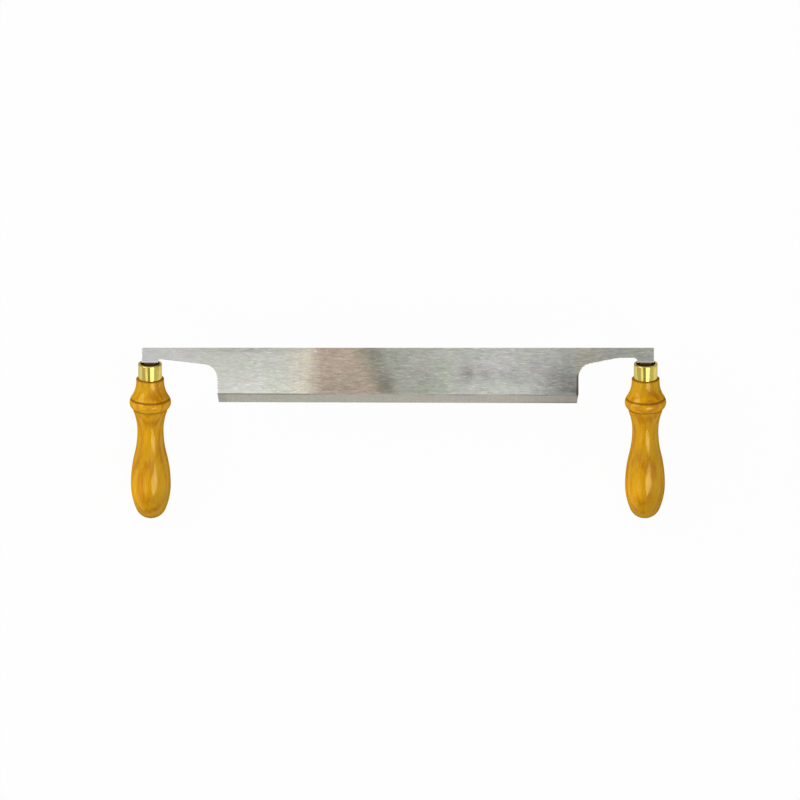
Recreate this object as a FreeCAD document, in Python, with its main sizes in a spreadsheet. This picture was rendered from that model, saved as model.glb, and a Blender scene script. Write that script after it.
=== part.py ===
import FreeCAD, Part
import os
import re
import Sketcher

# A drawknife: one forged steel blade whose tangs are driven into two turned wooden handles,
# each bound by a brass ferrule. The handles are canted towards the blade's flat back.
# +X runs along the blade, +Y points away from the user, +Z out of the bevelled face.
# The origin is the middle of the spine, on the flat back. Millimetres and degrees.

SIZES = dict(
    # the blade's body: a flat bar with a single bevel
    edge_length=254.0,  # cutting edge
    end_relief=1.1,  # how far each end is ground in over the bevel
    blade_depth=38.6,  # spine to cutting edge, at the left end
    edge_lean=0.8,  # how much deeper the right end is
    blade_thickness=3.8,
    bevel_width=6.6,
    edge_land=0.12,  # flat left along the cutting edge
    corner_radius=9.9,  # hollow between an arm and the body's end
    edge_easing=0.3,  # small round along the outline of the bevelled face
    # the arms that carry the body out to the handles, each a little different
    arm_reach=47.7,  # body's end to the handle's axis
    left_arm_tip=7.9,  # depth below the spine, at the neck
    left_arm_root=12.8,  # and where the arm meets the body
    left_neck_round=2.2,
    right_arm_tip=7.2,
    right_arm_root=13.2,
    right_arm_straight=13.5,  # even depth beside the neck
    right_arm_bend=40.0,
    right_neck_round=2.9,
    neck_width=11.6,
    neck_depth=10.6,  # spine to the neck's square end
    heel_round=0.8,  # the spine's two outer corners
    # the tangs
    tang_width=8.0,
    tang_thickness=3.4,
    tang_tip_width=4.0,
    tang_tip_thickness=2.4,
    tang_length=78.0,  # from the ferrule's mouth
    tang_clearance=0.1,  # all round in the wood
    # how the handles stand
    handle_cant=20.0,  # turned down from the plane of the blade
    mouth_gap=0.4,  # neck's end to the middle of the ferrule's mouth
    # the ferrules
    ferrule_length=11.3,
    ferrule_radius=8.45,
    ferrule_wall=1.2,
    ferrule_round=0.5,
    ferrule_clearance=0.05,
    # the turned wood, each length measured on down the axis from the one before
    spigot_recess=3.5,  # ferrule's mouth down to the end of the spigot inside it
    collar_step=1.45,  # collar's radius over the ferrule's
    collar_length=2.1,
    flare_length=12.2,
    lip_radius=13.75,
    groove_depth=0.85,
    groove_width=1.1,
    bead_radius=14.77,
    bead_curve=5.6,
    bead_above=2.5,  # bead's two parts, either side of its fullest ring
    bead_below=4.6,
    ledge_step=0.3,
    ledge_length=1.8,
    cove_length=14.8,
    waist_radius=9.3,
    swell_length=40.5,  # waist to belly
    swell_share=0.44,  # where along it the hollow turns into a swell
    belly_radius=14.2,
    shoulder_curve=49.0,
    butt_length=25.7,  # belly to the end of the handle
)

# formulas that several pieces share
HANDLE_AXIS = "(edge_length / 2 + end_relief + arm_reach)"  # from the blade's middle
MOUTH_DEPTH = "(neck_depth + mouth_gap)"  # from the spine to the middle of a ferrule's mouth
SPIGOT = "(ferrule_radius - ferrule_wall - ferrule_clearance)"

START, END, MIDDLE = 1, 2, 3  # how a sketch names the points of a line or an arc
ORIGIN = (-1, START)
ACROSS_AXIS, UP_AXIS = -1, -2

os.makedirs("parts", exist_ok=True)
doc = FreeCAD.newDocument("drawknife")


def make_sheet():
    sheet = doc.addObject("Spreadsheet::Sheet", "Sizes")
    for row, (name, value) in enumerate(SIZES.items(), start=1):
        sheet.set(f"A{row}", name)
        sheet.set(f"B{row}", str(value))
        sheet.setAlias(f"B{row}", name)
    doc.recompute()


def size(name):
    return doc.Sizes.get(name)


def from_sheet(formula):
    """The formula as FreeCAD reads it: each size named in it is looked up in the sheet."""
    return re.sub(r"[a-z_]+", lambda word: f"Sizes.{word[0]}" if word[0] in SIZES else word[0], formula)


def tie(thing, formulas):
    for setting, formula in formulas.items():
        thing.setExpression(setting, from_sheet(formula))


def make_body(name):
    body = doc.addObject("PartDesign::Body", name)
    body.Label = name
    return body


def origin_feature(body, role):
    return next(item for item in body.Origin.OriginFeatures if item.Role == role)


def make_sketch(body, name, role):
    sketch = body.newObject("Sketcher::SketchObject", name)
    sketch.AttachmentSupport = (origin_feature(body, role), "")
    sketch.MapMode = "FlatFace"
    return sketch


def value_of(sketch, formula):
    return float(sketch.evalExpression(from_sheet(formula)))


def dimension(sketch, kind, places, formula):
    """A driving dimension that follows the sheet."""
    value = value_of(sketch, formula)
    number = sketch.addConstraint(Sketcher.Constraint(kind, *places, value))
    sketch.setExpression(f"Constraints[{number}]", from_sheet(formula))


def place(sketch, point, across, up):
    """Fixes a point, given as (geometry, end), at formulas measured from the sketch's origin."""
    for kind, axis, formula in (("DistanceX", UP_AXIS, across), ("DistanceY", ACROSS_AXIS, up)):
        value = value_of(sketch, formula)
        if value == 0:
            sketch.addConstraint(Sketcher.Constraint("PointOnObject", *point, axis))
        elif value > 0:
            dimension(sketch, kind, (*ORIGIN, *point), formula)
        else:
            dimension(sketch, kind, (*point, *ORIGIN), f"-({formula})")


def spot(sketch, across, up):
    return FreeCAD.Vector(value_of(sketch, across), value_of(sketch, up), 0)


def join(sketch, one, other, kind="Coincident"):
    sketch.addConstraint(Sketcher.Constraint(kind, *one, *other))


class Pen:
    """Draws an outline run by run. Every stop and every arc's centre follows the sheet."""

    def __init__(self, sketch, across, up):
        self.sketch = sketch
        self.opening = (across, up)
        self.spot = spot(sketch, across, up)
        self.first = self.last = None

    def add(self, begin, finish, stop, meeting="Coincident"):
        if self.last:
            join(self.sketch, self.last, begin, meeting)
        else:
            self.first = begin
            place(self.sketch, begin, *self.opening)
        self.last = finish
        if stop:
            place(self.sketch, finish, *stop)

    def line(self, across, up):
        finish = spot(self.sketch, across, up)
        number = self.sketch.addGeometry(Part.LineSegment(self.spot, finish))
        self.add((number, START), (number, END), (across, up))
        self.spot = finish

    def arc(self, across, up, bow, fixed=True, meeting="Coincident"):
        """An arc bowed out from its chord by about this share of the chord, or in if negative."""
        finish = spot(self.sketch, across, up)
        chord = finish - self.spot
        crown = (self.spot + finish) / 2 + FreeCAD.Vector(chord.y, -chord.x, 0) * bow
        number = self.sketch.addGeometry(Part.Arc(self.spot, crown, finish))
        ends = [(number, START), (number, END)]
        if self.sketch.getPoint(*ends[0]).distanceToPoint(self.spot) > 0.001:
            ends.reverse()  # a sketch keeps its arcs anticlockwise
        self.add(*ends, (across, up) if fixed else None, meeting)
        self.spot = finish
        return number

    def level_arc(self, across, up, bow, level):
        """An arc whose centre lies at a level, so it is upright where it passes that level."""
        number = self.arc(across, up, bow)
        dimension(self.sketch, "DistanceY", (*ORIGIN, number, MIDDLE), level)

    def close(self):
        number = self.sketch.addGeometry(Part.LineSegment(self.spot, spot(self.sketch, *self.opening)))
        join(self.sketch, self.last, (number, START))
        join(self.sketch, (number, END), self.first)


def straight_outline(sketch, corners):
    pen = Pen(sketch, *corners[0])
    for corner in corners[1:]:
        pen.line(*corner)
    pen.close()


def rectangle(sketch, width, height):
    """A rectangle centred on the sketch's origin."""
    half_width, half_height = f"({width}) / 2", f"({height}) / 2"
    left, low = f"-{half_width}", f"-{half_height}"
    corners = [(left, low), (half_width, low), (half_width, half_height), (left, half_height)]
    straight_outline(sketch, corners)


def edges_through(shape, points):
    """Names of the edges that pass within a hundredth of a millimetre of the points."""
    names = []
    for number, edge in enumerate(shape.Edges, start=1):
        if any(edge.distToShape(Part.Vertex(point))[0] < 0.01 for point in points):
            names.append(f"Edge{number}")
    return names


def round_edges(body, name, points, radius):
    doc.recompute()
    base = body.Tip
    fillet = body.newObject("PartDesign::Fillet", name)
    fillet.Base = (base, edges_through(base.Shape, points))
    tie(fillet, {"Radius": radius})


# ---- blade ----


def forge_bar(body):
    """The bar's outline with its arms and square necks, drawn from the spine down."""
    sketch = make_sketch(body, "BarOutline", "XY_Plane")
    heel = f"({HANDLE_AXIS} + neck_width / 2)"
    neck = f"({HANDLE_AXIS} - neck_width / 2)"
    end = "(edge_length / 2 + end_relief)"
    corners = [
        (f"-{heel}", "0"),
        (heel, "0"),
        (heel, "-neck_depth"),
        (neck, "-neck_depth"),
        (neck, "-right_arm_tip"),
        (f"{neck} - right_arm_straight", "-right_arm_tip"),
        (end, "-right_arm_root"),
        (end, "-(blade_depth + edge_lean - bevel_width)"),
        ("edge_length / 2", "-(blade_depth + edge_lean)"),
        ("-edge_length / 2", "-blade_depth"),
        (f"-{end}", "-(blade_depth - bevel_width)"),
        (f"-{end}", "-left_arm_root"),
        (f"-{neck}", "-left_arm_tip"),
        (f"-{neck}", "-neck_depth"),
        (f"-{heel}", "-neck_depth"),
    ]
    straight_outline(sketch, corners)
    bar = body.newObject("PartDesign::Pad", "Bar")
    bar.Profile = sketch
    tie(bar, {"Length": "blade_thickness"})


def round_bar(body):
    """The hollow corners and the soft turns of the outline."""
    end = size("edge_length") / 2 + size("end_relief")
    heel = end + size("arm_reach") + size("neck_width") / 2
    neck = heel - size("neck_width")
    bend = neck - size("right_arm_straight")

    def upright(x, depth):
        return FreeCAD.Vector(x, -depth, size("blade_thickness") / 2)

    inner_ends = [upright(-end, size("left_arm_root")), upright(end, size("right_arm_root"))]
    round_edges(body, "BodyCorners", inner_ends, "corner_radius")
    round_edges(body, "LeftNeckRound", [upright(-neck, size("left_arm_tip"))], "left_neck_round")
    round_edges(body, "RightNeckRound", [upright(neck, size("right_arm_tip"))], "right_neck_round")
    round_edges(body, "RightArmBend", [upright(bend, size("right_arm_tip"))], "right_arm_bend")
    round_edges(body, "Heels", [upright(-heel, 0), upright(heel, 0)], "heel_round")


def ease_face(body):
    """Softens the outline of the bevelled face, stopping short of the bevel."""
    doc.recompute()
    base = body.Tip
    top = size("blade_thickness")
    bevel_top = size("bevel_width") - size("blade_depth")
    names = []
    for number, edge in enumerate(base.Shape.Edges, start=1):
        on_face = all(abs(vertex.Z - top) < 0.01 for vertex in edge.Vertexes)
        if on_face and edge.CenterOfMass.y > bevel_top:
            names.append(f"Edge{number}")
    easing = body.newObject("PartDesign::Fillet", "Easing")
    easing.Base = (base, names)
    tie(easing, {"Radius": "edge_easing"})


def grind_bevel(body):
    """The bevel runs parallel to the cutting edge, which leans a little from the spine."""
    sketch = make_sketch(body, "BevelProfile", "YZ_Plane")
    lean = "atan(edge_lean / edge_length)"
    sketch.AttachmentOffset = FreeCAD.Placement(
        FreeCAD.Vector(), FreeCAD.Rotation(FreeCAD.Vector(0, -1, 0), value_of(sketch, lean))
    )
    tie(sketch, {"AttachmentOffset.Rotation.Angle": lean})
    edge = "(blade_depth + edge_lean / 2)"
    past_edge, above = f"-({edge} + bevel_width)", "blade_thickness * 2"
    corners = [
        (f"-{edge}", "edge_land"),
        (f"-({edge} - bevel_width)", "blade_thickness"),
        (f"-({edge} - bevel_width)", above),
        (past_edge, above),
        (past_edge, "edge_land"),
    ]
    straight_outline(sketch, corners)
    doc.recompute()
    whole = body.Tip.Shape.Volume
    bevel = body.newObject("PartDesign::Pocket", "Bevel")
    bevel.Profile = sketch
    bevel.Type = "ThroughAll"
    bevel.SideType = "Symmetric"
    doc.recompute()
    section = size("bevel_width") * (size("blade_thickness") - size("edge_land")) / 2
    expected = section * size("edge_length")
    removed = whole - bevel.Shape.Volume
    if abs(removed / expected - 1) > 0.03:
        raise RuntimeError(f"the bevel removed {removed:.0f} and not {expected:.0f} cubic millimetres")


def tang_section(body, name, station, width, thickness):
    """A section across the right handle's axis, at a station measured from its ferrule's mouth."""
    sketch = make_sketch(body, name, "XZ_Plane")
    sketch.AttachmentOffset = FreeCAD.Placement(
        FreeCAD.Vector(), FreeCAD.Rotation(FreeCAD.Vector(1, 0, 0), size("handle_cant"))
    )
    offset = {
        "AttachmentOffset.Base.x": HANDLE_AXIS,
        "AttachmentOffset.Base.y": f"blade_thickness / 2 - {station} * sin(handle_cant)",
        "AttachmentOffset.Base.z": f"{MOUTH_DEPTH} + {station} * cos(handle_cant)",
        "AttachmentOffset.Rotation.Angle": "handle_cant",
    }
    tie(sketch, offset)
    rectangle(sketch, width, thickness)
    return sketch


def neck_section(body):
    """The top of the tang, on the neck's square end."""
    sketch = make_sketch(body, "TangTop", "XZ_Plane")
    offset = {
        "AttachmentOffset.Base.x": HANDLE_AXIS,
        "AttachmentOffset.Base.y": "blade_thickness / 2",
        "AttachmentOffset.Base.z": "neck_depth",
    }
    tie(sketch, offset)
    rectangle(sketch, "tang_width", "tang_thickness")
    return sketch


def draw_tangs(body):
    """The right tang turns out of the blade's plane and tapers; the left one mirrors it."""
    top = neck_section(body)
    root = tang_section(body, "TangRoot", "spigot_recess", "tang_width", "tang_thickness")
    tip = tang_section(body, "TangTip", "tang_length", "tang_tip_width", "tang_tip_thickness")
    tang = body.newObject("PartDesign::AdditiveLoft", "Tang")
    tang.Profile = top
    tang.Sections = [root, tip]
    tang.Ruled = True
    doc.recompute()
    mirror = body.newObject("PartDesign::Mirrored", "OtherTang")
    mirror.Originals = [tang]
    mirror.MirrorPlane = (origin_feature(body, "YZ_Plane"), [""])
    body.Tip = mirror


def make_blade():
    body = make_body("blade")
    forge_bar(body)
    round_bar(body)
    ease_face(body)
    grind_bevel(body)
    draw_tangs(body)


# ---- ferrules and handles ----


def stand_on_tang(body, side):
    """Puts a turned piece over its tang. Its own Z runs down the handle from the ferrule's mouth."""
    body.Placement.Rotation = FreeCAD.Rotation(FreeCAD.Vector(1, 0, 0), 90 + size("handle_cant"))
    placement = {
        "Placement.Base.x": f"{side} * {HANDLE_AXIS}",
        "Placement.Base.y": f"-{MOUTH_DEPTH}",
        "Placement.Base.z": "blade_thickness / 2",
        "Placement.Rotation.Angle": "90 + handle_cant",
    }
    tie(body, placement)


def make_ferrule(name, side):
    body = make_body(name)
    sketch = make_sketch(body, "RingSection", "XZ_Plane")
    bore = "(ferrule_radius - ferrule_wall)"
    corners = [
        (bore, "0"),
        ("ferrule_radius", "0"),
        ("ferrule_radius", "ferrule_length"),
        (bore, "ferrule_length"),
    ]
    straight_outline(sketch, corners)
    revolve(body, "Ring", sketch)
    mouth = [FreeCAD.Vector(size("ferrule_radius"), 0, 0)]
    round_edges(body, "MouthRound", mouth, "ferrule_round")
    stand_on_tang(body, side)


def revolve(body, name, sketch):
    turned = body.newObject("PartDesign::Revolution", name)
    turned.Profile = sketch
    turned.ReferenceAxis = (sketch, ["V_Axis"])
    turned.Angle = 360


def turned_section(body):
    """Half the wood's section, from the spigot down: across is the radius, up is the station."""
    collar = "(ferrule_radius + collar_step)"
    collar_end = "(ferrule_length + collar_length)"
    lip = f"({collar_end} + flare_length)"
    bead = f"({lip} + groove_width + bead_above)"
    bead_end = f"({bead} + bead_below)"
    ledge = f"({on_bead('bead_below')} - ledge_step)"
    waist = f"({bead_end} + ledge_length + cove_length)"
    belly = f"({waist} + swell_length)"
    turn_radius = "waist_radius + (belly_radius - waist_radius) * swell_share"

    sketch = make_sketch(body, "TurnedSection", "XZ_Plane")
    pen = Pen(sketch, "0", "spigot_recess")
    pen.line(SPIGOT, "spigot_recess")
    pen.line(SPIGOT, "ferrule_length")
    pen.line(collar, "ferrule_length")
    pen.line(collar, collar_end)
    pen.level_arc("lip_radius", lip, -0.08, collar_end)
    pen.line("lip_radius - groove_depth", f"{lip} + groove_width / 2")
    pen.line(on_bead("bead_above"), f"{lip} + groove_width")
    pen.level_arc(on_bead("bead_below"), bead_end, 0.19, bead)
    pen.line(ledge, bead_end)
    pen.line(ledge, f"{bead_end} + ledge_length")
    pen.level_arc("waist_radius", waist, -0.05, waist)
    pen.level_arc(turn_radius, f"{waist} + swell_length * swell_share", -0.03, waist)
    pen.level_arc("belly_radius", belly, 0.03, belly)
    shoulder = pen.arc("belly_radius * 3 / 4", f"{belly} + butt_length * 3 / 4", 0.05, fixed=False)
    dimension(sketch, "DistanceY", (*ORIGIN, shoulder, MIDDLE), belly)
    dimension(sketch, "Radius", (shoulder,), "shoulder_curve")
    butt = pen.arc("0", f"{belly} + butt_length", 0.16, meeting="Tangent")
    sketch.addConstraint(Sketcher.Constraint("PointOnObject", butt, MIDDLE, UP_AXIS))
    pen.close()
    return sketch


def on_bead(offset):
    """The bead's radius at an offset along the axis from its fullest ring."""
    return f"(bead_radius - bead_curve + sqrt(bead_curve ^ 2 - {offset} ^ 2))"


def bored_section(body, name, station, width, thickness):
    """A section of the tang's hole, square to the handle's axis."""
    sketch = make_sketch(body, name, "XY_Plane")
    tie(sketch, {"AttachmentOffset.Base.z": station})
    rectangle(sketch, f"{width} + 2 * tang_clearance", f"{thickness} + 2 * tang_clearance")
    return sketch


def burn_in_tang(body):
    """The tapered blind hole that the tang is driven into."""
    doc.recompute()
    whole = body.Tip.Shape.Volume
    top = bored_section(body, "HoleTop", "spigot_recess", "tang_width", "tang_thickness")
    bottom_station = "tang_length + tang_clearance"
    bottom = bored_section(body, "HoleBottom", bottom_station, "tang_tip_width", "tang_tip_thickness")
    hole = body.newObject("PartDesign::SubtractiveLoft", "TangHole")
    hole.Profile = top
    hole.Sections = [bottom]
    hole.Ruled = True
    doc.recompute()
    narrowest = size("tang_tip_width") * size("tang_tip_thickness")
    if whole - hole.Shape.Volume < narrowest * (size("tang_length") - size("spigot_recess")):
        raise RuntimeError("the tang's hole isn't cut")


def make_handle(name, side):
    body = make_body(name)
    revolve(body, "Turning", turned_section(body))
    burn_in_tang(body)
    stand_on_tang(body, side)


# ---- build ----


def check(bodies):
    broken = [item.Name for item in doc.Objects if {"Invalid", "Error"} & set(item.State)]
    broken += [item.Label for item in bodies if item.Shape.isNull() or not item.Shape.isValid()]
    broken += [item.Label for item in bodies if len(item.Shape.Solids) != 1]
    if broken:
        raise RuntimeError(f"not built: {broken}")


make_sheet()
make_blade()
for prefix, side in (("left", -1), ("right", 1)):
    make_ferrule(f"{prefix}_ferrule", side)
    make_handle(f"{prefix}_handle", side)
doc.recompute()
pieces = [item for item in doc.Objects if item.TypeId == "PartDesign::Body"]
check(pieces)
for piece in pieces:
    piece.Shape.exportStep(f"parts/{piece.Label}.step")
    print(f"{piece.Label}: {piece.Shape.Volume:.0f} cubic millimetres, {piece.Shape.BoundBox}")
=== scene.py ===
import math

import bmesh
import bpy
from mathutils import Matrix, Vector


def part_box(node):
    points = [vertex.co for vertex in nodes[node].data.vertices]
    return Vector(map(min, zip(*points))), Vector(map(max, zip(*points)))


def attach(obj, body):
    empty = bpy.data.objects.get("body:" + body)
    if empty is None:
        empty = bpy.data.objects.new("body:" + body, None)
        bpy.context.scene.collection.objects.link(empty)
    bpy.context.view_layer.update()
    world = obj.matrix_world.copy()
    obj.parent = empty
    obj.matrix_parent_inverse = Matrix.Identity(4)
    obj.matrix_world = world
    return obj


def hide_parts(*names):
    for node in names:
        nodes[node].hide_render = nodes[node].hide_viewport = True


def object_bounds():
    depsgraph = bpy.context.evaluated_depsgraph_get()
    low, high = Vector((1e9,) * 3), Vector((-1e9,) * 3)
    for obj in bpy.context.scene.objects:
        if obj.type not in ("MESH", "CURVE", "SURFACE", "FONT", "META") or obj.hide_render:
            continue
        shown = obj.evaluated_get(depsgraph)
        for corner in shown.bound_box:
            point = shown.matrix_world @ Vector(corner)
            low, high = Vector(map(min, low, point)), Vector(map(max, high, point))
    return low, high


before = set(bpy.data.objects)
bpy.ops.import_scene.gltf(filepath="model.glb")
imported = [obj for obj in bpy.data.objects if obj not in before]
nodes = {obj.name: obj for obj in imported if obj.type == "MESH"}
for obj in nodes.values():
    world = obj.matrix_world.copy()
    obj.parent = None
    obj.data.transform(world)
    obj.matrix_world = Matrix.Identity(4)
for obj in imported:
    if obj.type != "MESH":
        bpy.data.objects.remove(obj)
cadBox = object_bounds()
scene = bpy.context.scene
mm = 0.001
print("frame loaded:", ", ".join(sorted(nodes)))


class Signal:
    # the output of a node, which can be used in sums
    def __init__(self, bench, socket):
        self.bench, self.socket = bench, socket

    def work(self, operation, *values):
        return self.bench.add("ShaderNodeMath", {"operation": operation}, dict(enumerate(values)))

    def __add__(self, other):
        return self.work("ADD", self, other)

    def __sub__(self, other):
        return self.work("SUBTRACT", self, other)

    def __rsub__(self, other):
        return self.work("SUBTRACT", other, self)

    def __mul__(self, other):
        return self.work("MULTIPLY", self, other)

    def __pow__(self, other):
        return self.work("POWER", self, other)

    __radd__ = __add__
    __rmul__ = __mul__

    def sine(self):
        return self.work("SINE", self)

    def size(self):
        return self.work("ABSOLUTE", self)

    def clip(self):
        return self.bench.add("ShaderNodeClamp", {}, {"Value": self})

    def rise(self, start, end):  # 0 at start, 1 at end, smooth between; it falls where start is the higher
        return self.bench.add("ShaderNodeMapRange", {"interpolation_type": "SMOOTHSTEP"},
                              {"Value": self, "From Min": start, "From Max": end})

    def near(self, middle, reach):  # 1 at the middle, fading to 0 at that distance from it
        return 1 - (self - middle).size().rise(0.0, reach)

    def riseMm(self, start, end):
        return self.rise(start * mm, end * mm)

    def nearMm(self, middle, reach):
        return self.near(middle * mm, reach * mm)


class Bench:
    # the nodes of one material, or of the world
    def __init__(self, tree):
        self.tree = tree
        tree.nodes.clear()

    def add(self, kind, settings=None, sockets=None, output=None):
        node = self.tree.nodes.new(kind)
        for name, value in (settings or {}).items():
            if name == "stops":
                self.setStops(node.color_ramp, value)
            else:
                setattr(node, name, value)
        live = [s for s in node.inputs if s.enabled]
        for key, value in (sockets or {}).items():
            socket = live[key] if isinstance(key, int) else next(s for s in live if s.name == key)
            if isinstance(value, Signal):
                self.tree.links.new(value.socket, socket)
            else:
                socket.default_value = (*value, 1) if socket.type == "RGBA" else value
        shown = [s for s in node.outputs if s.enabled]
        return Signal(self, next((s for s in shown if s.name == output), shown[0]) if shown else None)

    def setStops(self, ramp, stops):
        while len(ramp.elements) < len(stops):
            ramp.elements.new(0.5)
        for element, (position, colour) in zip(ramp.elements, stops):
            element.position = position
            element.color = (*colour, 1)

    def place(self, stand=None):  # in metres, in the shared frame or as measured from a turned piece's stand
        place = self.add("ShaderNodeTexCoord", output="Object")
        if stand is None:
            return place
        return self.add("ShaderNodeMapping", {"vector_type": "TEXTURE"}, {
            "Vector": place, "Location": tuple(stand.translation), "Rotation": tuple(stand.to_euler())})

    def split(self, vector):
        node = self.add("ShaderNodeSeparateXYZ", {}, {0: vector}).socket.node
        return [Signal(self, s) for s in node.outputs]

    def stretched(self, vector, scale):
        return self.add("ShaderNodeVectorMath", {"operation": "MULTIPLY"}, {0: vector, 1: scale})

    def shifted(self, vector, step):
        return self.add("ShaderNodeVectorMath", {"operation": "ADD"}, {0: vector, 1: step})

    def noise(self, vector, scale, detail, roughness, distortion=0.0, step=(0, 0, 0)):
        if any(step):
            vector = self.shifted(vector, step)
        return self.add("ShaderNodeTexNoise", {}, {
            "Vector": self.stretched(vector, scale), "Scale": 1.0, "Detail": detail,
            "Roughness": roughness, "Distortion": distortion})

    def noises(self, vector, looks):
        return [self.noise(vector, *look) for look in looks.values()]

    def blend(self, share, first, second, way="MIX"):
        return self.add("ShaderNodeMix", {"data_type": "RGBA", "blend_type": way},
                        {"Factor": share, "A": first, "B": second})

    def shade(self, colour, amount):  # a colour made lighter or darker by a factor
        return self.add("ShaderNodeVectorMath", {"operation": "SCALE"}, {0: colour, "Scale": amount})

    def tinted(self, share, colour, cast):
        return self.blend(share, colour, self.blend(1.0, colour, cast, "MULTIPLY"))

    def bump(self, height, distance, strength):
        return self.add("ShaderNodeBump", {}, {"Height": height, "Distance": distance, "Strength": strength})

    def finish(self, sheen=None, **sockets):
        # sheen holds the share, colour and roughness of plain gloss laid over the surface
        named = {name.replace("_", " "): value for name, value in sockets.items()}
        surface = self.add("ShaderNodeBsdfPrincipled", {}, named)
        if sheen:
            share, colour, roughness = sheen
            gloss = self.add("ShaderNodeBsdfAnisotropic", {}, {"Color": colour, "Roughness": roughness})
            surface = self.add("ShaderNodeMixShader", {}, {0: share, 1: surface, 2: gloss})
        self.add("ShaderNodeOutputMaterial", {}, {"Surface": surface})


def newMaterial(name):
    material = bpy.data.materials.new(name)
    material.use_nodes = True
    return material, Bench(material.node_tree)


# Camera: straight down on the bevelled face, from far off through a long lens
camera = dict(
    lens=600.0,
    sensor=36.0,
    frameWidth=0.5673,  # how much of the blade's plane fits across
    aside=1.5 * mm,
    below=37.1 * mm,
    clip=(0.1, 60.0),
)


def makeCamera():
    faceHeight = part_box("blade")[1].z
    data = bpy.data.cameras.new("camera")
    data.lens, data.sensor_width = camera["lens"], camera["sensor"]
    data.clip_start, data.clip_end = camera["clip"]
    eye = bpy.data.objects.new("camera", data)
    scene.collection.objects.link(eye)
    distance = camera["frameWidth"] * camera["lens"] / camera["sensor"]
    eye.location = (camera["aside"], -camera["below"], faceHeight + distance)
    scene.camera = eye


makeCamera()
print("camera placed")

# Studio: a white floor, a pale room that is a little darker on the right, and soft lamps
studio = dict(
    floorSize=14.0,
    floorGap=0.5 * mm,
    floorColour=(0.70, 0.70, 0.69),
    floorShowsWhite=0.965,  # the rest of it shows the object's shadow
    room=0.59,
    roomUp=0.06,  # how much brighter it is overhead
    rightDim=dict(start=0.15, end=0.75, loss=0.32),  # darker towards the right
    flag=dict(left=(-0.73, -0.58), right=(-0.02, 0.03), near=(-0.30, -0.20), loss=0.50),  # hung grey cloth
    paleWall=dict(start=0.50, end=0.60, depth=-0.40, reach=0.45, more=0.50),
    lamps=dict(  # direction from the object, distance, width, height, brightness, colour
        side=((-0.76, 0.34, 0.55), 9.0, 6.9, 5.4, 3.1, (1.0, 0.99, 0.97)),
        front=((0.347, -0.54, 0.775), 9.0, 4.9, 3.45, 3.3, (1.0, 0.98, 0.96)),
        warm=((-0.52, -0.57, 0.60), 9.0, 3.3, 2.4, 1.1, (1.0, 0.90, 0.95)),
    ),
    card=dict(place=(-0.215, 0.0, 0.34), below=(-0.215, 0.0, 0.0), width=0.30, height=0.5,
              brightness=0.42, colour=(1.0, 1.0, 0.98)),
)


def softLamp(name, place, target, width, height, brightness, colour):
    data = bpy.data.lights.new(name, "AREA")
    data.shape, data.size, data.size_y = "RECTANGLE", width, height
    data.energy = brightness * math.pi * width * height
    data.color = colour
    lamp = bpy.data.objects.new(name, data)
    lamp.location = place
    lamp.rotation_euler = (Vector(place) - Vector(target)).to_track_quat("Z", "Y").to_euler()
    scene.collection.objects.link(lamp)


def makeStudio():
    mesh = bpy.data.meshes.new("floor")
    sheet = bmesh.new()
    bmesh.ops.create_grid(sheet, x_segments=2, y_segments=2, size=studio["floorSize"] / 2)
    sheet.to_mesh(mesh)
    sheet.free()
    floor = bpy.data.objects.new("floor", mesh)
    floor.location.z = cadBox[0].z - studio["floorGap"]
    scene.collection.objects.link(floor)
    material, bench = newMaterial("whiteFloor")
    path = bench.add("ShaderNodeLightPath")
    ray = {s.name: Signal(bench, s) for s in path.socket.node.outputs}
    seen = (ray["Is Camera Ray"] + ray["Is Glossy Ray"] + ray["Is Transmission Ray"]).clip()
    surface = bench.add("ShaderNodeMixShader", {}, {
        0: seen * studio["floorShowsWhite"],
        1: bench.add("ShaderNodeBsdfDiffuse", {}, {"Color": studio["floorColour"]}),
        2: bench.add("ShaderNodeEmission", {}, {"Color": (1, 1, 1), "Strength": 1.0})})
    bench.add("ShaderNodeOutputMaterial", {}, {"Surface": surface})
    mesh.materials.append(material)

    world = bpy.data.worlds.new("paleRoom")
    world.use_nodes = True
    scene.world = world
    bench = Bench(world.node_tree)
    x, y, z = bench.split(bench.add("ShaderNodeTexCoord", output="Generated"))
    flag, wall, dim = studio["flag"], studio["paleWall"], studio["rightDim"]
    dark = x.rise(*flag["left"]) * (1 - x.rise(*flag["right"])) * (1 - y.rise(*flag["near"]))
    bright = x.rise(wall["start"], wall["end"]) * y.near(wall["depth"], wall["reach"])
    level = studio["room"] + z * studio["roomUp"] + bright * wall["more"]
    level = level * (1 - dark * flag["loss"]) * (1 - x.rise(dim["start"], dim["end"]) * dim["loss"])
    air = bench.add("ShaderNodeBackground", {}, {"Color": (1, 1, 1), "Strength": level})
    bench.add("ShaderNodeOutputWorld", {}, {"Surface": air})

    middle = (cadBox[0] + cadBox[1]) / 2
    for name, (way, distance, width, height, brightness, colour) in studio["lamps"].items():
        place = middle + Vector(way).normalized() * distance
        softLamp(name + "Lamp", place, middle, width, height, brightness, colour)
    card = studio["card"]
    softLamp("bladeCard", card["place"], card["below"], card["width"], card["height"],
             card["brightness"], card["colour"])
    scene.view_settings.view_transform = "Standard"


makeStudio()
print("studio lit")

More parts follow.
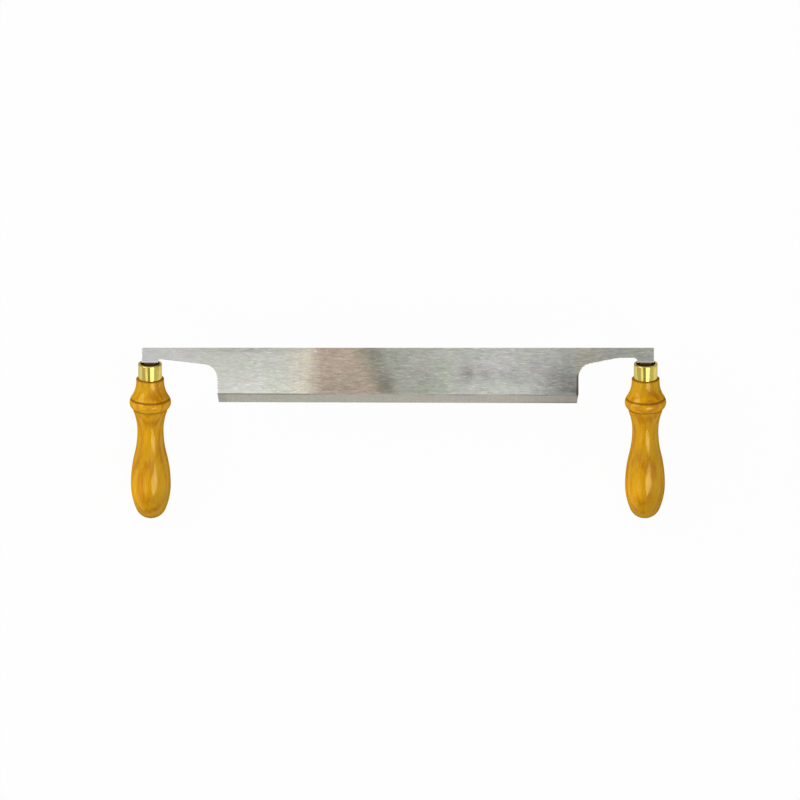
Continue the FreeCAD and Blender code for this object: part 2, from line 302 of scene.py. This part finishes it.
# Blade: the ground steel bar keeps its shape and gets its finish here
blade = dict(
    tonesAndReflections=[  # millimetres along the blade from its middle, and the colour there: the steel's tone with painted reflection bands, a cream highlight near -64 and pinkish and dark bands right of it
        (-181, (0.485, 0.485, 0.49)),
        (-158, (0.515, 0.512, 0.50)),
        (-116, (0.525, 0.525, 0.495)),
        (-84, (0.57, 0.57, 0.53)),
        (-76, (0.615, 0.585, 0.538)),
        (-64, (0.695, 0.627, 0.543)),
        (-55, (0.535, 0.435, 0.365)),
        (-35, (0.595, 0.487, 0.395)),
        (-27, (0.46, 0.415, 0.33)),
        (-20, (0.405, 0.385, 0.33)),
        (-10, (0.50, 0.505, 0.445)),
        (14, (0.565, 0.575, 0.515)),
        (36, (0.635, 0.64, 0.59)),
        (62, (0.68, 0.68, 0.66)),
        (90, (0.65, 0.645, 0.625)),
        (104, (0.55, 0.56, 0.525)),
        (116, (0.475, 0.48, 0.45)),
        (134, (0.535, 0.545, 0.49)),
        (150, (0.465, 0.47, 0.447)),
        (181, (0.52, 0.51, 0.475)),
    ],
    toneLean=0.43,  # how the tones' borders slant across the blade, right of leanFrom
    leanFrom=(-60, -20),
    wander=9.0,  # how far those borders stray
    patches=[  # darker or lighter places, partly painted reflection that darkens the face near the spine and lightens it near the bevel, partly dark smudges on the steel: along, depth, reach each way, change
        (-108, -1, 62, 6, -0.20),
        (-104, -31, 62, 22, 0.16),
        (-68, -10, 13, 13, 0.06),
        (-42, -30, 30, 16, -0.12),
        (-14, -4, 7, 8, -0.15),
        (-9, -26, 9, 10, -0.24),
        (23, -22, 8, 7, -0.08),
        (49, -18, 9, 9, -0.32),
        (62, -19, 9, 8, -0.18),
        (81, -21, 10, 8, -0.16),
        (60, -31, 52, 10, 0.15),
        (72, -9, 13, 9, 0.07),
        (114, -1, 26, 17, 0.18),
        (118, -28, 24, 20, -0.38),
    ],
    warmth=dict(  # a warm tint at the root of the right arm
        left=(124, 127), right=(158, 130), depth=(-8, 15), hue=(0.35, 0.6), least=0.5,
        cast=(1.05, 0.97, 0.90)),
    noises=dict(  # scale each way per metre, detail, roughness, distortion, step aside
        fine=((240, 1500, 1500), 2.0, 0.6, 0.3),
        long=((125, 560, 560), 3.0, 0.65, 1.0),
        glintDashes=((230, 1000, 1000), 1.0, 0.5, 0.0, (0.9, 0.3, 0.1)),
        cloud=((38, 62, 62), 3.0, 0.5, 0.3),
        hue=((45, 90, 90), 3.0, 0.5, 0.0, (3.1, 1.7, 0.4)),
        stray=((90, 420, 420), 3.0, 0.6, 0.0, (1.3, 0.2, 0.7)),
        wave=((35, 1, 1), 2.0, 0.5),
        across=((1500, 60, 60), 2.0, 0.6),  # the bevel's own grinding marks
    ),
    streak=0.85,
    fineShare=0.6,
    calm=dict(ends=(-85, -150), loss=0.45),  # the grinding marks are fainter at the left end
    # painted glints: short bright dashes across the ground face
    glintShare=0.26,
    glintShows=(0.58, 0.74),
    cloud=0.26,
    cloudLeast=0.35,
    cloudGrows=(10, 45),  # the clouds are stronger to the right of this
    casts=[(0.47, 0.66, (0.965, 1.0, 0.93)), (0.50, 0.34, (1.0, 0.965, 0.96))],  # greenish, pinkish
    ridge=dict(  # the bevel's upper line
        depth=32.4,  # below the spine, in the middle
        lean=0.8 / 254,
        strays=0.5,
        gapsFrom=(-75, -35),  # between here
        gapsTo=(65, 95),  # and here it comes and goes
        gapsWhere=(0.45, 0.6),
        line=(-0.85, 0.6),  # offset and reach of its painted shade line
        lineShade=0.75,
        brightLine=(0.5, 0.9),  # the same for a bright line above it, which stops at the next pair
        brightLineRight=(65, 45),
        brightLineEnds=(128.7, 127.9),
        brightLineGain=0.12,
    ),
    bevel=dict(
        ends=[(0.797, 0.77, 0.66), (0.765, 0.726, 0.642)],  # left and right
        corner=(0.674, 0.642, 0.567),
        cornerReach=(-123, -120),
        cornerShare=0.7,
        dull=dict(start=78, loss=0.26),  # duller towards its right end
        lowest=dict(depth=(-5.2, -6.2), start=(60, 100), loss=0.2),  # a darker line along the edge
        crossMarks=0.25,
        longMarks=0.15,
        topBand=(-0.5, -0.3),  # the ground face's colour runs a little way over the line
        topLight=1.5,
        facing=(0.93, 0.985),  # how squarely up a surface looks: less than this is bevel
    ),
    halfEdge=127.0,
    edges=(0.34, 0.33, 0.31),  # the bar's narrow sides
    edgeFacing=(0.25, 0.7),
    endEdgeShade=dict(  # painted shade: a dark strip along the eased right end of the blade
        colour=(0.13, 0.097, 0.088), side=(-0.9, 0.3), top=(-18, -21), bottom=(-36, -33), share=0.8,
        patch=((127, 6), (-31, 4)), patchShare=0.55, facing=(0.0, 0.3)),
    neckDepth=10.6,
    neckEndHighlight=dict(reach=1.2, start=(168, 169), light=0.6),  # painted highlight on the bend at the end of each neck
    tang=dict(  # black from the forge and painted darker as the shade inside the ferrule's mouth, from the neck's end on
        colour=(0.085, 0.042, 0.012), below=(-0.5, 0.2), outside=(150, 160), rougher=0.35),
    roughness=0.25,
    fineRough=0.12,
    cloudRough=0.08,
    bump=(0.00002, 0.5),
)


def finishBlade():
    b = blade
    line, face, neck = b["ridge"], b["bevel"], b["neckEndHighlight"]
    warmRoot, rim, black = b["warmth"], b["endEdgeShade"], b["tang"]
    material, bench = newMaterial("groundSteel")
    place = bench.place()
    x, y = bench.split(place)[:2]
    facing = bench.split(bench.add("ShaderNodeTexCoord", output="Normal"))[2]
    fine, long, glintDashes, cloud, hue, stray, wave, across = bench.noises(place, b["noises"])

    # the ground face: tones along the blade with painted reflection bands, crossed by grinding marks
    start, end = b["tonesAndReflections"][0][0], b["tonesAndReflections"][-1][0]
    slant = x.riseMm(*b["leanFrom"]) * b["toneLean"]
    along = x + y * slant + (stray - 0.5) * b["wander"] * mm
    share = bench.add("ShaderNodeMapRange", {}, {
        "Value": along, "From Min": start * mm, "From Max": end * mm})
    stops = [((where - start) / (end - start), colour) for where, colour in b["tonesAndReflections"]]
    steel = bench.add("ShaderNodeValToRGB", {"stops": stops}, {"Fac": share})
    for low, high, cast in b["casts"]:
        steel = bench.tinted(hue.rise(low, high), steel, cast)
    calm = 1 - x.riseMm(*b["calm"]["ends"]) * b["calm"]["loss"]
    streaks = ((long - 0.5) + (fine - 0.5) * b["fineShare"]) * calm
    # the bright dashes added here are painted glints
    tone = (1 + streaks * b["streak"] + glintDashes.rise(*b["glintShows"]) * b["glintShare"] * calm
            + (cloud - 0.5) * b["cloud"] * (x.riseMm(*b["cloudGrows"]) + b["cloudLeast"]))
    # the patches are partly painted reflection and partly smudges on the steel
    for where, depth, reachAlong, reachDeep, change in b["patches"]:
        tone = tone + x.nearMm(where, reachAlong) * y.nearMm(depth, reachDeep) * change

    # the line where the bevel begins, drawn as a painted shade line with a bright line above it, and the
    # painted highlight at the end of each neck
    overRidge = y + x * line["lean"] + line["depth"] * mm + (wave - 0.5) * line["strays"] * mm
    middle = x.riseMm(*line["gapsFrom"]) * (1 - x.riseMm(*line["gapsTo"]))
    kept = 1 - middle * (1 - wave.rise(*line["gapsWhere"]))
    # painted shade: a dark line along the bevel's upper edge
    ridge = overRidge.nearMm(*line["line"]) * kept
    brightLineMask = overRidge.nearMm(*line["brightLine"]) * kept * x.riseMm(*line["brightLineRight"])
    brightLineMask = brightLineMask * x.size().riseMm(*line["brightLineEnds"])
    # painted highlight on the bend at each neck's end
    neckEndHighlight = y.nearMm(-b["neckDepth"], neck["reach"]) * x.size().riseMm(*neck["start"])
    steel = bench.shade(steel, tone + brightLineMask * line["brightLineGain"] + neckEndHighlight * neck["light"])
    warm = x.riseMm(*warmRoot["left"]) * x.riseMm(*warmRoot["right"]) * y.nearMm(*warmRoot["depth"])
    warm = warm * (hue.rise(*warmRoot["hue"]) + warmRoot["least"])
    steel = bench.tinted(warm.clip(), steel, warmRoot["cast"])

    # the bevel, which has marks of its own
    halfEdge = b["halfEdge"]
    bevel = bench.blend(x.riseMm(-halfEdge, halfEdge), *face["ends"])
    dull = x.riseMm(face["dull"]["start"], halfEdge) * face["dull"]["loss"]
    low = face["lowest"]
    lowest = overRidge.riseMm(*low["depth"]) * x.riseMm(*low["start"]) * low["loss"]
    marks = (across - 0.5) * face["crossMarks"] + (long - 0.5) * face["longMarks"]
    bevel = bench.shade(bevel, 1 - dull - lowest + marks)
    bevel = bench.blend((1 - x.riseMm(*face["cornerReach"])) * face["cornerShare"], bevel, face["corner"])
    bevel = bench.blend(overRidge.riseMm(*face["topBand"]), bevel, bench.shade(steel, face["topLight"]))
    tilted = 1 - facing.rise(*face["facing"])
    colour = bench.blend(tilted, steel, bevel)
    # painted shade along the bevel's upper edge, in the colour of the bar's sides
    colour = bench.blend(ridge * tilted * line["lineShade"], colour, b["edges"])
    colour = bench.blend(1 - facing.size().rise(*b["edgeFacing"]), colour, b["edges"])

    # the painted shade at the blade's right end, and the black tangs, darkened as shade inside the ferrules
    endEdgeShade = x.riseMm(halfEdge + rim["side"][0], halfEdge + rim["side"][1]) * y.riseMm(*rim["top"])
    endEdgeShade = endEdgeShade * y.riseMm(*rim["bottom"]) * rim["share"]
    endEdgeShade = endEdgeShade + x.nearMm(*rim["patch"][0]) * y.nearMm(*rim["patch"][1]) * rim["patchShare"]
    colour = bench.blend(endEdgeShade.clip() * facing.rise(*rim["facing"]), colour, rim["colour"])
    tang = 1 - y.riseMm(black["below"][0] - b["neckDepth"], black["below"][1] - b["neckDepth"])
    tang = tang * x.size().riseMm(*black["outside"])
    colour = bench.blend(tang, colour, black["colour"])

    height = streaks * (1 - tilted) + (across - 0.5) * tilted
    roughness = (b["roughness"] + (fine - 0.5) * b["fineRough"] + (cloud - 0.5) * b["cloudRough"]
                 + tang * black["rougher"])
    bench.finish(Base_Color=colour, Metallic=1 - tang, Roughness=roughness, Specular_IOR_Level=0.05,
                 Normal=bench.bump(height, *b["bump"]))
    node = nodes["blade"]
    node.material_slots[0].material = material


finishBlade()
print("blade finished")

# Turned pieces: profiles in millimetres, as distance down from the mouth and radius
turning = dict(
    cant=20.0,
    around=96,
    arcStep=4.0,  # degrees
    arcChord=0.8,
)


def arcPoints(level, radius, start, end):
    # points on a circle round (level, radius), from one point to another by the short way
    reach = math.hypot(start[0] - level, start[1] - radius)
    first = math.atan2(start[1] - radius, start[0] - level)
    last = math.atan2(end[1] - radius, end[0] - level)
    turn = (last - first + math.pi) % (2 * math.pi) - math.pi
    steps = max(2, math.ceil(abs(math.degrees(turn)) / turning["arcStep"]))
    steps = max(steps, math.ceil(abs(turn) * reach / turning["arcChord"]))
    angles = [first + turn * i / steps for i in range(steps + 1)]
    return [(level + reach * math.cos(a), radius + reach * math.sin(a)) for a in angles]


def levelArc(level, height, start, end):
    # an arc that lies level, at that height, where it passes the level
    far = start if abs(start[0] - level) > abs(end[0] - level) else end
    run, rise = far[0] - level, far[1] - height
    reach = (run * run + rise * rise) / (2 * rise)
    return arcPoints(level, height + reach, start, end)


def turnMesh(name, profile, closed):
    around = turning["around"]
    mesh = bpy.data.meshes.new(name)
    shape = bmesh.new()
    rings = []
    for down, radius in profile:
        if radius < 1e-6:
            rings.append([shape.verts.new((0, 0, down * mm))] * around)
            continue
        angles = [2 * math.pi * i / around for i in range(around)]
        rings.append([shape.verts.new((radius * mm * math.cos(a), radius * mm * math.sin(a), down * mm))
                      for a in angles])
    pairs = list(zip(rings, rings[1:] + rings[:1] if closed else rings[1:]))
    for upper, lower in pairs:
        for i in range(around):
            j = (i + 1) % around
            corners = []
            for corner in (upper[i], upper[j], lower[j], lower[i]):
                if corner not in corners:
                    corners.append(corner)
            shape.faces.new(corners).smooth = True
    bmesh.ops.recalc_face_normals(shape, faces=shape.faces)
    shape.to_mesh(mesh)
    shape.free()
    return mesh


def handleStand(side):
    # its Z runs down the handle from the ferrule's mouth
    low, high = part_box(side + "_ferrule")
    cant = math.radians(turning["cant"])
    axis = Vector((0, -math.cos(cant), -math.sin(cant)))
    mouth = (low + high) / 2 - axis * ferrule["length"] * mm / 2
    across = Vector((1, 0, 0))
    return Matrix.Translation(mouth) @ Matrix((across, axis.cross(across), axis)).transposed().to_4x4()


def addTurned(name, mesh, stand, material, cadNode):
    mesh.transform(stand)
    piece = bpy.data.objects.new(name, mesh)
    scene.collection.objects.link(piece)
    mesh.materials.append(material)
    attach(piece, "root")
    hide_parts(cadNode)


# Ferrules: short lengths of brass tube
ferrule = dict(
    length=11.3,
    radius=8.45,
    wall=1.2,
    lip=1.6,  # thickness of the turned-in rim
    lipDepth=1.3,
    outerRound=0.5,
    innerRound=0.25,
    brass=(0.74, 0.61, 0.135),
    # tarnish colour, also used for the painted shade below
    tarnishAndShade=(0.42, 0.28, 0.05),
    noises=dict(
        lines=((60, 60, 5200), 2.0, 0.6),  # left by the lathe
        cloud=((140, 140, 200), 3.0, 0.6),
    ),
    # painted shade inside the bore
    bore=dict(radius=(7.5, 8.0), depth=(0.6, 2.2), dull=0.8, lessMetal=0.5),
    foot=dict(reach=0.9, dull=0.5),  # where it meets the collar
    # painted shade on the left and right sides
    shadedSides=dict(start=(6.6, 8.4), dull=0.7),
    shadedEars=dict(start=(4.0, 6.5), depth=(0.7, 0.2), dull=0.9),  # painted shade on the rim to the left and right of the neck
    clouding=dict(start=0.42, dull=0.9),
    roughness=0.14,
    dullRough=0.25,
    lineRough=0.08,
    bump=(0.000008, 0.5),
)


def ferruleProfile():
    f = ferrule
    bore, outer, inner = f["radius"] - f["wall"], f["outerRound"], f["innerRound"]
    points = arcPoints(outer, f["radius"] - outer, (0, f["radius"] - outer), (outer, f["radius"]))
    points += arcPoints(f["length"] - outer, f["radius"] - outer,
                        (f["length"] - outer, f["radius"]), (f["length"], f["radius"] - outer))
    points += arcPoints(f["length"] - inner, bore + inner,
                        (f["length"], bore + inner), (f["length"] - inner, bore))
    rim = f["radius"] - f["lip"]
    points += [(f["lipDepth"] + f["lip"] - f["wall"], bore), (f["lipDepth"], rim)]
    points += arcPoints(inner, rim + inner, (inner, rim), (0, rim + inner))
    return points


def brassMaterial(name, stand):
    f = ferrule
    bore, clouding = f["bore"], f["clouding"]
    material, bench = newMaterial(name)
    place = bench.place(stand)
    x, y, down = bench.split(place)
    radius = (x * x + y * y) ** 0.5
    lines, cloud = bench.noises(place, f["noises"])
    inside = (1 - radius.riseMm(*bore["radius"])) * down.riseMm(*bore["depth"])
    foot = down.nearMm(f["length"], f["foot"]["reach"])
    shadedSides = x.size().riseMm(*f["shadedSides"]["start"])
    shadedEars = x.size().riseMm(*f["shadedEars"]["start"]) * down.riseMm(*f["shadedEars"]["depth"])
    # tarnish clouds, plus painted shade inside the bore, on the sides and on the rim beside the neck
    dull = ((cloud - clouding["start"]) * clouding["dull"] + inside * bore["dull"]
            + foot * f["foot"]["dull"] + shadedSides * f["shadedSides"]["dull"] + shadedEars * f["shadedEars"]["dull"]).clip()
    colour = bench.blend(dull, f["brass"], f["tarnishAndShade"])
    roughness = f["roughness"] + dull * f["dullRough"] + (lines - 0.5) * f["lineRough"]
    bench.finish(Base_Color=colour, Metallic=1 - inside * bore["lessMetal"], Roughness=roughness,
                 Normal=bench.bump(lines, *f["bump"]))
    return material


# Handles: turned hardwood under honey varnish, each length measured on from the one before
handle = dict(
    spigotRecess=3.5,  # ferrule's mouth to the top of the wood inside it
    spigotRadius=7.2,
    spigotBevel=0.2,
    underCollar=0.02,
    collarRadius=9.9,
    collarLength=2.1,
    flareLength=12.2,
    lipRadius=13.75,
    grooveDepth=0.85,
    grooveWidth=1.1,
    beadRadius=14.77,
    beadCurve=5.6,
    beadAbove=2.5,
    beadBelow=4.6,
    ledgeStep=0.3,
    ledgeRun=0.05,
    ledgeLength=1.8,
    coveLength=14.8,
    waistRadius=9.3,
    swellLength=40.5,
    swellShare=0.44,  # where the waist's curve turns into the belly's
    bellyRadius=14.2,
    shoulderCurve=49.0,  # its radius, from the belly to the butt's round
    buttLength=25.7,
    softness=0.35,  # round of the collar's upper edge
    honey=(0.65, 0.317, 0.0),
    amber=(0.485, 0.18, 0.0),
    straw=(0.61, 0.33, 0.0),
    pore=(0.26, 0.10, 0.0),
    # painted shade colour for the groove, the ledge and the collar
    creaseShade=(0.31, 0.115, 0.0),
    # end grain of the wood inside the ferrule, painted nearly black as shade
    shadedEndGrain=(0.07, 0.026, 0.005),
    shadedEndGrainDepth=(9.5, 11.0),
    glow=(1.0, 0.87, 0.31),  # of the varnish's reflections
    cuts=dict(left=(0.0, 0.0, 0.0), right=(0.31, 0.17, 0.45)),  # where in the plank each was cut
    noises=dict(
        warp=((60, 60, 18), 2.0, 0.5),
        fibres=((650, 650, 36), 3.0, 0.65, 0.3),
        threads=((1900, 1900, 90), 2.0, 0.6),
        cloud=((130, 130, 45), 3.0, 0.55, 0.5),
        drift=((90, 90, 36), 2.0, 0.5, 0.0, (0.7, 0.2, 0.5)),
        pores=((1500, 1500, 260), 1.0, 0.5),
    ),
    pith=(0.002, -0.030, 0.05),  # where the year rings' centre runs: aside, behind, and its slope
    ringWidth=0.0034,
    ringWarp=0.008,
    grain=dict(rings=0.85, fibres=2.0, threads=2.0, cloud=1.2, more=0.33, flare=0.5),
    flare=dict(below=8, reach=9, side=(-6, 3)),
    strawWhere=(0.46, 0.66),
    strawShare=0.6,
    poreWhere=(0.62, 0.74),
    poreShare=0.3,
    swell=dict(where=(67, 14), change=-0.09),  # lighter and darker lengths of the handle
    bead=dict(reach=6, change=0.14),
    # painted light: the left side of the belly made lighter
    litLeftSide=dict(where=(94, 18), side=(0, -9), change=0.2),
    butt=dict(start=(93, 106), lean=0.6, change=-0.14),
    creaseShades=dict(  # painted shade in the groove, below the ledge and round the collar
        grooveReach=1.25, groovePower=0.7, ledgeBelow=0.2, ledgeReach=0.9, ledge=0.6,
        collarReach=1.0, collar=0.8),
    varnish=dict(
        gloss=0.06, glossRough=0.14, coat=0.15, starts=(10.5, 11.5), creaseShadeLoss=0.6,
        edgeOn=(0.35, 0.75), edgeLoss=0.9),
    thinFlare=dict(below=9, reach=5, loss=0.5),  # rubbed thinner on the flare and round the waist
    thinWaist=dict(reach=6, loss=0.3),
    relief=dict(fibres=0.6, threads=0.4, pores=0.3),
    roughness=0.45,
    fibreRough=0.2,
    bump=(0.00004, 0.4),
)


def stations():
    # levels down the axis from the ferrule's mouth
    h = handle
    steps = dict(collarEnd=h["collarLength"], lip=h["flareLength"], beadStart=h["grooveWidth"],
                 bead=h["beadAbove"], beadEnd=h["beadBelow"], ledgeEnd=h["ledgeLength"],
                 waist=h["coveLength"], belly=h["swellLength"], end=h["buttLength"])
    level, levels = ferrule["length"], {}
    for name, step in steps.items():
        level += step
        levels[name] = level
    return levels


def handleProfile():
    h, at = handle, stations()
    soft, top = h["softness"], h["spigotRecess"]
    collar, lip = h["collarRadius"], (at["lip"], h["lipRadius"])
    spigot, bevel = h["spigotRadius"], h["spigotBevel"]
    points = [(top, 0.0), (top, spigot - bevel), (top + bevel, spigot),
              (ferrule["length"] + h["underCollar"], spigot)]
    points += arcPoints(ferrule["length"] + soft, collar - soft,
                        (ferrule["length"], collar - soft), (ferrule["length"] + soft, collar))
    points += levelArc(at["collarEnd"], collar, (at["collarEnd"], collar), lip)
    points.append((at["lip"] + h["grooveWidth"] / 2, h["lipRadius"] - h["grooveDepth"]))
    beadMiddle = h["beadRadius"] - h["beadCurve"]

    def onBead(level):
        return level, beadMiddle + math.sqrt(h["beadCurve"] ** 2 - (level - at["bead"]) ** 2)

    points += arcPoints(at["bead"], beadMiddle, onBead(at["beadStart"]), onBead(at["beadEnd"]))
    ledge = onBead(at["beadEnd"])[1] - h["ledgeStep"]
    points.append((at["beadEnd"] + h["ledgeRun"], ledge))
    waist, belly = (at["waist"], h["waistRadius"]), (at["belly"], h["bellyRadius"])
    points += levelArc(*waist, (at["ledgeEnd"], ledge), waist)
    swell = tuple(a + (b - a) * h["swellShare"] for a, b in zip(waist, belly))
    points += levelArc(*waist, waist, swell)[1:]
    points += levelArc(*belly, swell, belly)[1:]
    shoulder = belly[1] - h["shoulderCurve"]
    run = h["buttLength"]
    butt = (h["shoulderCurve"] ** 2 - run ** 2 - shoulder ** 2) / (2 * (h["shoulderCurve"] - run))
    centre = at["end"] - butt
    share = h["shoulderCurve"] / (h["shoulderCurve"] - butt)
    meeting = (belly[0] + (centre - belly[0]) * share, shoulder * (1 - share))
    points += arcPoints(belly[0], shoulder, belly, meeting)[1:]
    points += arcPoints(centre, 0.0, meeting, (at["end"], 0.0))[1:-1]
    return points + [(at["end"], 0.0)]


def woodMaterial(name, stand, cut):
    # cut is another part of the plank, so that the two handles don't match
    h, at = handle, stations()
    material, bench = newMaterial(name)
    own = bench.place(stand)
    x, y, down = bench.split(own)
    warp, fibres, threads, cloud, drift, pores = bench.noises(bench.shifted(own, cut), h["noises"])
    pores = pores.rise(*h["poreWhere"])

    # year rings and fibres, between the honey and amber colours
    share, flare = h["grain"], h["flare"]
    aside, behind, slope = h["pith"]
    ring = ((x - aside) ** 2 + (y - behind - down * slope) ** 2) ** 0.5 + (warp - 0.5) * h["ringWarp"]
    rings = (ring * (2 * math.pi / h["ringWidth"])).sine() * 0.5 + 0.5
    onFlare = down.nearMm(at["collarEnd"] + flare["below"], flare["reach"]) * x.riseMm(*flare["side"])
    grain = ((rings - 0.5) * share["rings"] + (fibres - 0.5) * share["fibres"]
             + (threads - 0.5) * share["threads"] + (cloud - 0.5) * share["cloud"]
             + share["more"] + onFlare * share["flare"]).clip()
    colour = bench.blend(grain, h["honey"], h["amber"])
    colour = bench.blend(drift.rise(*h["strawWhere"]) * h["strawShare"], colour, h["straw"])
    colour = bench.blend(pores * h["poreShare"], colour, h["pore"])

    swell, bead, litLeftSide, butt = h["swell"], h["bead"], h["litLeftSide"], h["butt"]
    tone = 1 + down.nearMm(*swell["where"]) * swell["change"]
    tone = tone + (down + x * butt["lean"]).riseMm(*butt["start"]) * butt["change"]
    tone = tone + down.nearMm(at["bead"], bead["reach"]) * bead["change"]
    # painted light on the left side of the belly
    tone = tone + down.nearMm(*litLeftSide["where"]) * x.riseMm(*litLeftSide["side"]) * litLeftSide["change"]
    colour = bench.shade(colour, tone)

    creases = h["creaseShades"]
    creaseShade = (down.nearMm(at["lip"] + h["grooveWidth"] / 2, creases["grooveReach"]) ** creases["groovePower"]
              + down.nearMm(at["beadEnd"] + creases["ledgeBelow"], creases["ledgeReach"]) * creases["ledge"]
              + down.nearMm(ferrule["length"], creases["collarReach"]) * creases["collar"]).clip()
    # painted shade in the groove, below the ledge and round the collar
    colour = bench.blend(creaseShade, colour, h["creaseShade"])
    # the wood inside the ferrule: end grain painted nearly black as shade
    colour = bench.blend(1 - down.riseMm(*h["shadedEndGrainDepth"]), colour, h["shadedEndGrain"])

    coat, upper, waist, relief = h["varnish"], h["thinFlare"], h["thinWaist"], h["relief"]
    edgeOn = bench.add("ShaderNodeLayerWeight", {}, {"Blend": 0.5}, "Facing").rise(*coat["edgeOn"])
    thin = down.nearMm(at["collarEnd"] + upper["below"], upper["reach"]) * upper["loss"]
    thin = thin + down.nearMm(at["waist"], waist["reach"]) * waist["loss"]
    varnish = (1 - creaseShade * coat["creaseShadeLoss"]) * (1 - thin) * (1 - edgeOn * coat["edgeLoss"])
    varnish = varnish * down.riseMm(*coat["starts"])
    height = ((fibres - 0.5) * relief["fibres"] + (threads - 0.5) * relief["threads"]
              - pores * relief["pores"])
    bench.finish(sheen=(varnish * coat["gloss"], h["glow"], coat["glossRough"]),
                 Base_Color=colour, Roughness=h["roughness"] + (fibres - 0.5) * h["fibreRough"],
                 Specular_IOR_Level=0.0, Coat_Weight=varnish * coat["coat"], Coat_Roughness=0.12,
                 Coat_IOR=1.4, Normal=bench.bump(height, *h["bump"]))
    return material


def makeHandles():
    for side, cut in handle["cuts"].items():
        stand = handleStand(side)
        ring = turnMesh(side + "Ferrule", ferruleProfile(), True)
        addTurned(side + "Ferrule", ring, stand, brassMaterial(side + "Brass", stand),
                  side + "_ferrule")
        body = turnMesh(side + "Handle", handleProfile(), False)
        addTurned(side + "Handle", body, stand, woodMaterial(side + "Wood", stand, cut),
                  side + "_handle")


makeHandles()
print("ferrules and handles turned")
